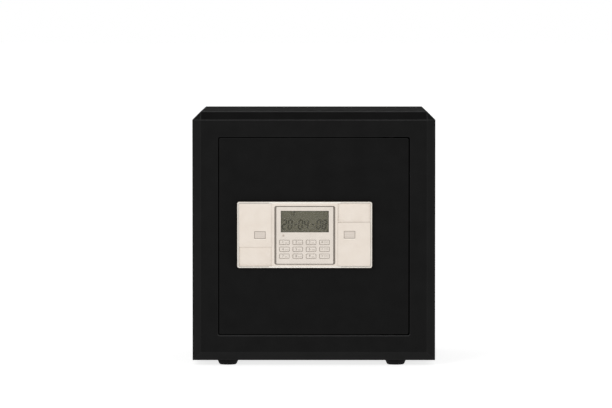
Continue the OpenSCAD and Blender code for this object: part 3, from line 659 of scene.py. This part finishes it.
def make_grips():
    """In each cover's thumb recess: a pad with a shadow line and three ribs, and under it a lip in a lighter
    plastic that paints a highlight.
    """
    pad = moulded("grip_pad", srgb(203, 193, 183), srgb(210, 200, 190), 0.5, 1500)
    shadow = moulded("grip_shadow", srgb(150, 139, 129), srgb(160, 149, 139), 0.6, 1500)
    # The lip's lighter plastic paints the highlight where it catches the light.
    lip = moulded("grip_lip_highlight", srgb(236, 228, 216), srgb(240, 233, 222), 0.3, 1500, coat=0.3)
    half_w, half_h = GRIP_W / 2 - GRIP_FIT, GRIP_H / 2 - GRIP_FIT
    for name, inward in (("left_cover", 1), ("right_cover", -1)):
        low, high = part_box(name)
        mid_x = (low.x + high.x) / 2 + GRIP_IN * inward
        mid_z = low.z + GRIP_FROM_END if inward > 0 else high.z - GRIP_FROM_END
        floor = low.y + GRIP_DEPTH

        def plate(suffix, boxes, y_front, thick, bevel, material):
            """One grip piece on this cover. A box is its half width, bottom, top and corner radius."""
            outlines = [round_rectangle((mid_x - half, mid_z + bottom), (mid_x + half, mid_z + top), corner)
                        for half, bottom, top, corner in boxes]
            front_plate(f"{name}_{suffix}", outlines, y_front, thick, bevel, material, name)

        outline = (half_w, -half_h, half_h, GRIP_CORNER)
        border = (half_w - GRIP_EDGE_W, -half_h + GRIP_EDGE_W, half_h - GRIP_EDGE_W, GRIP_EDGE_CORNER)
        plate("grip", [outline], floor - 0.35 * MM, 0.34 * MM, 0.1 * MM, pad)
        for i in range(-1, 2):
            rib_z = i * RIB_PITCH
            rib = (half_w - RIB_FROM_SIDE, rib_z - RIB_HALF_H, rib_z + RIB_HALF_H, RIB_CORNER)
            plate(f"rib_{i + 2}", [rib], floor - 0.6 * MM, 0.3 * MM, 0.12 * MM, pad)
        plate("grip_edge", [outline, border], floor - 0.42 * MM, 0.1 * MM, 0.03 * MM, shadow)
        near, far = LIP_BELOW
        bar = (half_w + LIP_OVERHANG, -half_h - far, -half_h - near, LIP_CORNER)
        plate("lip", [bar], low.y - 0.3 * MM, 0.35 * MM, 0.15 * MM, lip)


def make_key_outlines():
    """A moulded line round each key that paints its shadow, standing just proud of the face and thicker at
    its lower left, where the shadow falls.
    """
    line = moulded("key_shadow_line", srgb(160, 150, 139), srgb(170, 160, 149), 0.5, 1500)
    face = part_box("module_face")[0].y
    inset = KEY_SKIRT - KEY_GAP
    for row in range(1, 4):
        for column in range(1, 5):
            inner_low, inner_high = inset_box(f"key_row{row}_column{column}", inset)
            outer_low = (inner_low[0] - LINE_LEFT, inner_low[1] - LINE_BOTTOM)
            outer_high = (inner_high[0] + LINE_RIGHT, inner_high[1] + LINE_TOP)
            rings = [round_rectangle(outer_low, outer_high, LINE_CORNER_OUTER),
                     round_rectangle(inner_low, inner_high, LINE_CORNER_INNER)]
            front_plate(f"key_line_{row}_{column}", rings, face - 0.1 * MM, 0.12 * MM, 0.03 * MM, line,
                        "door")


# ---------------------------------------------------------------- back and battery lid


def make_stitch_welds(paint):
    """Short painted weld beads along the joint between the back plate and the shell."""
    low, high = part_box("back_plate")
    bm = bmesh.new()
    sides = [
        ((low.x, low.z), (low.x, high.z - CHAMFER)),
        ((high.x, low.z), (high.x, high.z - CHAMFER)),
        ((low.x, low.z), (high.x, low.z)),
        ((low.x + CHAMFER, high.z), (high.x - CHAMFER, high.z)),
    ]
    for (x0, z0), (x1, z1) in sides:
        along = Vector((x1 - x0, 0, z1 - z0))
        for i in range(WELDS_PER_SIDE):
            middle = Vector((x0, high.y, z0)) + along * ((i + 0.5) / WELDS_PER_SIDE)
            weld_bead(bm, middle, along.normalized(), phase=i + WELDS_PER_SIDE * len(bm.verts))
    piece("back_stitch_welds", bm, paint, "cabinet", smooth=True)


def weld_bead(bm, middle, along, phase, steps=22, around=8, ripples=9):
    """A low, rippled ridge that stands out of the back, its foot sunk a little into it."""
    across = along.cross(Vector((0, 1, 0)))
    rows = []
    for i in range(steps + 1):
        t = i / steps
        swell = math.sqrt(max(0.0, 1 - (2 * t - 1) ** 4))
        ripple = 1 + 0.12 * math.sin(t * 2 * math.pi * ripples + phase)
        centre = middle + along * (t - 0.5) * WELD_LENGTH
        row = []
        for j in range(around + 1):
            angle = math.pi * j / around
            side = math.cos(angle) * WELD_W / 2 * (0.35 + 0.65 * swell)
            out = math.sin(angle) * WELD_H * swell * ripple
            row.append(bm.verts.new(centre + across * side + Vector((0, out - 0.05 * MM, 0))))
        rows.append(row)
    for a, b in zip(rows, rows[1:]):
        for j in range(around):
            bm.faces.new((a[j], a[j + 1], b[j + 1], b[j]))


def make_lid_arrow():
    """A raised arrow on the battery lid that shows which way it slides."""
    low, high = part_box("battery_lid")
    centre_x = (low.x + high.x) / 2
    tip_z = low.z + ARROW_FROM_LOW
    face_y = LID_FACE_FROM_FRONT + low.y
    right = [(ARROW_HALF_HEAD, ARROW_HEAD_H), (ARROW_HALF_STEM, ARROW_HEAD_H), (ARROW_HALF_STEM, ARROW_H)]
    arrow = [(0, 0)] + right + [(-x, z) for x, z in reversed(right)]
    outline = [(centre_x + x, tip_z + z) for x, z in arrow]
    ink = moulded("arrow_ink", shade(0.32), shade(0.38), 0.5, 1500)
    front_plate("lid_arrow", [outline], face_y - 0.02 * MM, 0.35 * MM, 0.1 * MM, ink, "battery_lid")


# ---------------------------------------------------------------- floor mat


def grid_cut(bm, low, high, step):
    """Cuts a mesh along a square grid over its plan, so that it can bend."""
    for axis in (0, 1):
        for i in range(1, int((high[axis] - low[axis]) / step) + 1):
            at, normal = Vector((0, 0, 0)), Vector((0, 0, 0))
            at[axis] = low[axis] + i * step
            normal[axis] = 1
            everything = bm.verts[:] + bm.edges[:] + bm.faces[:]
            bmesh.ops.bisect_plane(bm, geom=everything, plane_co=at, plane_no=normal)


def make_floor_mat(felt):
    """The felt mat: a thin sheet with die-cut anchor holes that lies a little wavy on the cabinet floor."""
    low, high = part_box("floor_mat")
    thick = high.z - low.z
    holes = [circle_points(sx * ANCHOR_X, ANCHOR_Y + sy * ANCHOR_HALF_Y, ANCHOR_CLEAR)
             for sx in (-1, 1) for sy in (-1, 1)]
    near, far = (low.x + MAT_EDGE, low.y + MAT_EDGE), (high.x - MAT_EDGE, high.y - MAT_EDGE)
    outline = round_rectangle(near, far, MAT_CORNER)
    mesh = flat_mesh("felt_mat", [outline] + holes, thick - 0.6 * MM, 0.7 * MM)
    bm = bmesh.new()
    bm.from_mesh(mesh)
    grid_cut(bm, low, high, MAT_GRID)
    middle = low.z + thick / 2 - MAT_WAVE / 2
    for vert in bm.verts:
        wave = 0.5 + 0.5 * noise.noise(Vector((vert.co.x * 14, vert.co.y * 14, 0)))
        vert.co.z += middle + MAT_WAVE * wave
    bm.to_mesh(mesh)
    bm.free()
    mat = place_mesh(mesh, felt, "cabinet")
    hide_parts("floor_mat")


# ---------------------------------------------------------------- display and key marks

# The bars of each sign, clockwise from the top as a to f, with g across the middle.
SEGMENTS = {"0": "abcdef", "1": "bc", "2": "abged", "4": "fgbc", "8": "abcdefg", "-": "g"}


def segment_shapes(width, height, thick):
    """The seven bars of a digit whose lower left corner is at the origin."""
    gap = thick * 0.18
    half = thick / 2
    mid = height / 2

    def across(z):
        return [(half + gap, z), (thick + gap, z + half), (width - thick - gap, z + half),
                (width - half - gap, z), (width - thick - gap, z - half), (thick + gap, z - half)]

    def upright(x, z0, z1):
        return [(x, z0 + half + gap), (x + half, z0 + thick + gap), (x + half, z1 - thick - gap),
                (x, z1 - half - gap), (x - half, z1 - thick - gap), (x - half, z0 + thick + gap)]

    return {
        "a": across(height - half), "g": across(mid), "d": across(half),
        "b": upright(width - half, mid - half, height), "c": upright(width - half, 0, mid + half),
        "f": upright(half, mid - half, height), "e": upright(half, 0, mid + half),
    }


def add_digit(bm, sign, left, low, width, height, thick, y0, y1, slant=0.12):
    shapes = segment_shapes(width, height, thick)
    for bar in SEGMENTS[sign]:
        outline = [(left + x + slant * z, low + z) for x, z in shapes[bar]]
        prism(bm, outline, y0, y1)


def make_display():
    """Generic digits on the display: a large row of pairs with dashes, and a small pair over it."""
    glass_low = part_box("lcd_glass")[0]
    y1 = glass_low.y
    y0 = y1 - DIGIT_THICK
    left = glass_low.x + DISPLAY_MARGIN
    base = glass_low.z + DISPLAY_MARGIN
    ink = Finish("display_ink", 0.4, specular=0.3)
    ink.mottle(srgb(30, 28, 14), srgb(36, 34, 20), 200)
    ink.bump(1500, 0.1, 0.00002)
    bm = bmesh.new()
    for text, start in LARGE_ROW:
        for i, sign in enumerate(text):
            width = DASH_W if sign == "-" else DIGIT_W
            x = left + start + i * DIGIT_PITCH
            add_digit(bm, sign, x, base + LARGE_ROW_UP, width, DIGIT_H, DIGIT_BAR, y0, y1)
    text, start = SMALL_PAIR
    for i, sign in enumerate(text):
        x = left + start + i * SMALL_DIGIT_PITCH
        add_digit(bm, sign, x, base + SMALL_PAIR_UP, SMALL_DIGIT_W, SMALL_DIGIT_H, SMALL_DIGIT_BAR, y0, y1)
    piece("display_digits", bm, ink.mat, "door")


def glyph(name, text, size, place, material, body):
    """A plain digit from Blender's own font, standing on a face that looks along -Y."""
    curve = bpy.data.curves.new(name, "FONT")
    curve.body = text
    curve.size = size
    curve.extrude = PRINT_THICK / 2
    curve.align_x = "CENTER"
    curve.align_y = "CENTER"
    mesh = curve_to_mesh(curve, name)
    mesh.transform(Matrix.Translation(place) @ UPRIGHT)
    place_mesh(mesh, material, body, smooth=False)


def ink_finish(name, low, high):
    finish = Finish(name, 0.6, specular=0.2)
    finish.mottle(low, high, 300)
    finish.bump(1500, 0.1, 0.00002)
    return finish.mat


def print_bar(bm, y, x, z, size):
    """A printed bar whose lower left corner is at x, z."""
    width, height = size
    prism(bm, [(x, z), (x + width, z), (x + width, z + height), (x, z + height)], y - PRINT_THICK, y)


def make_key_marks():
    """A digit, blocks and an underline on nine keys, and a plain shape and two bars on the other three."""
    ink = ink_finish("key_ink", srgb(112, 104, 96), srgb(124, 116, 108))
    faint = ink_finish("key_ink_faint", srgb(168, 160, 150), srgb(178, 170, 160))
    for row in range(1, 4):
        for column in range(1, 5):
            name = f"key_row{row}_column{column}"
            low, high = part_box(name)
            y = low.y
            x, z = (low.x + high.x) / 2, (low.z + high.z) / 2
            bm = bmesh.new()
            if column < 4:
                digit = str((row - 1) * 3 + column)
                place = Vector((x - KEY_DIGIT_LEFT, y - PRINT_THICK / 2, z))
                glyph(f"mark_{digit}", digit, KEY_DIGIT_SIZE, place, ink, name)
                for i in range(2 + (row + column) % 2):
                    print_bar(bm, y, x + MARK_RIGHT + i * BLOCK_PITCH, z - BLOCK_DOWN, BLOCK_SIZE)
                print_bar(bm, y, x + MARK_RIGHT, z - UNDERLINE_DOWN, UNDERLINE_SIZE)
            else:
                corners = SIGN_CORNERS[row - 1]
                turns = [math.radians(90 + 360 * i / corners) for i in range(corners)]
                sign_x, sign_z = x - SIGN_LEFT, z + SIGN_UP
                sign = [(sign_x + SIGN_RADIUS * math.cos(turn), sign_z + SIGN_RADIUS * math.sin(turn))
                        for turn in turns]
                prism(bm, sign, y - PRINT_THICK, y)
                for i in range(2):
                    print_bar(bm, y, x - BAR_LEFT, z + BAR_UP - i * BAR_PITCH, BAR_SIZE)
            piece(f"faint_mark_{row}_{column}", bm, faint, name)


# ---------------------------------------------------------------- build

make_camera()
make_studio()
FINISHES = make_finishes()
dress_cad_nodes(FINISHES)
soften_all()
make_display()
make_key_marks()
make_panel_trim()
make_grips()
make_key_outlines()
make_floor_mat(FINISHES["felt"])
make_stitch_welds(FINISHES["cabinet_paint"])
make_lid_arrow()
bpy.context.scene.view_settings.view_transform = "Standard"
